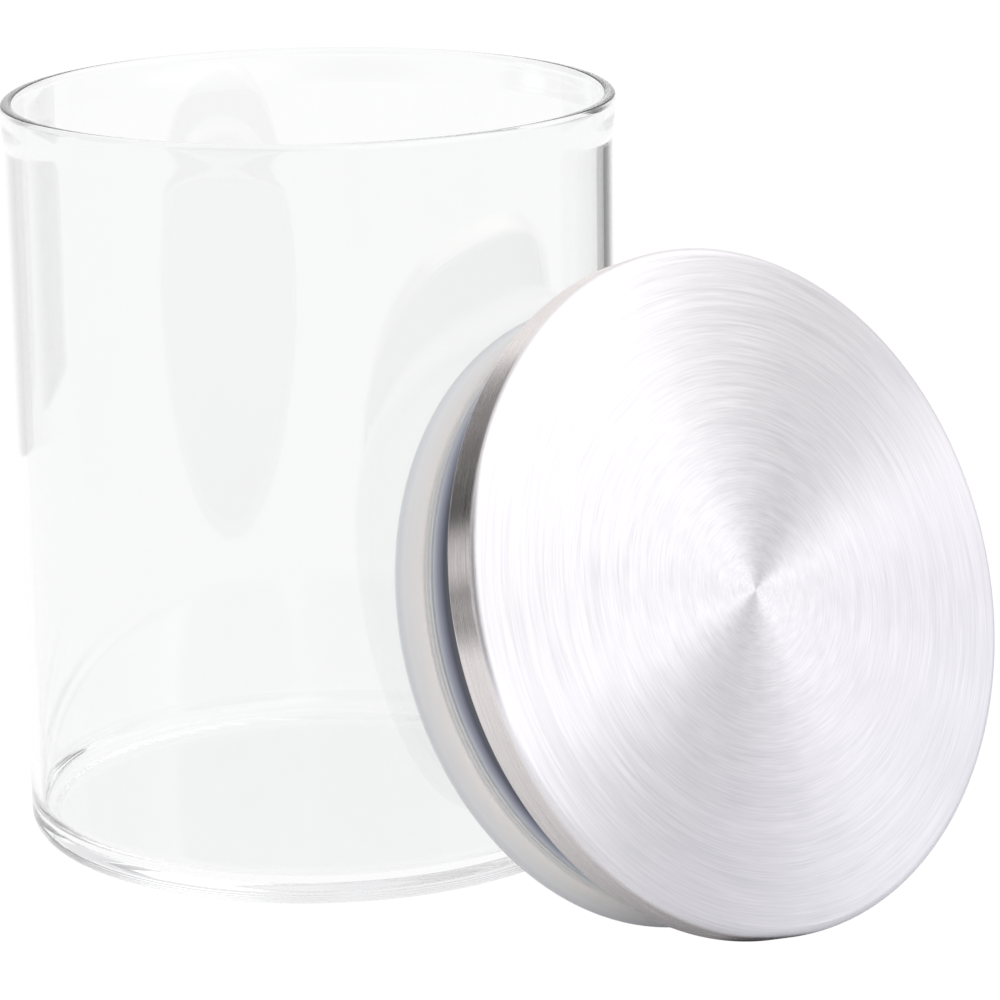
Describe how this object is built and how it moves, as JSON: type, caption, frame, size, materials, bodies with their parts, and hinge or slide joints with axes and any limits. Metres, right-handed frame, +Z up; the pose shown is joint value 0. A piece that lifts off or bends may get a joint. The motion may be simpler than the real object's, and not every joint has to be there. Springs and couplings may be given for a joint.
{
  "type": "lidded glass canister",
  "caption": "Clear glass storage canister with a loose push-in steel lid and silicone seal, the lid off and leaning on the jar.",
  "frame": {"origin": "centre of the jar's flat base, on the surface that it stands on", "axes": "+Z up along the jar's axis, out of its mouth; -Y is the front, and the lid leans on the jar at the front right, between +X and -Y"},
  "size_m": [0.1593, 0.1505, 0.1235],
  "materials": {
    "clear_glass": "clear polished thin borosilicate glass",
    "brushed_cap_steel": "circular brushed stainless steel",
    "satin_pan_steel": "satin stainless steel",
    "silicone": "milky translucent silicone, smooth"
  },
  "bodies": {
    "jar": {"glass_jar": "clear_glass"},
    "lid": {"lid_cap": "brushed_cap_steel", "lid_pan": "satin_pan_steel", "seal_ring": "silicone"}
  },
  "joints": [
    {"name": "lid_lift", "type": "slide", "parent": "jar", "child": "lid", "axis": [0, 0, 1], "range_m": [0, 0.15]}
  ]
}
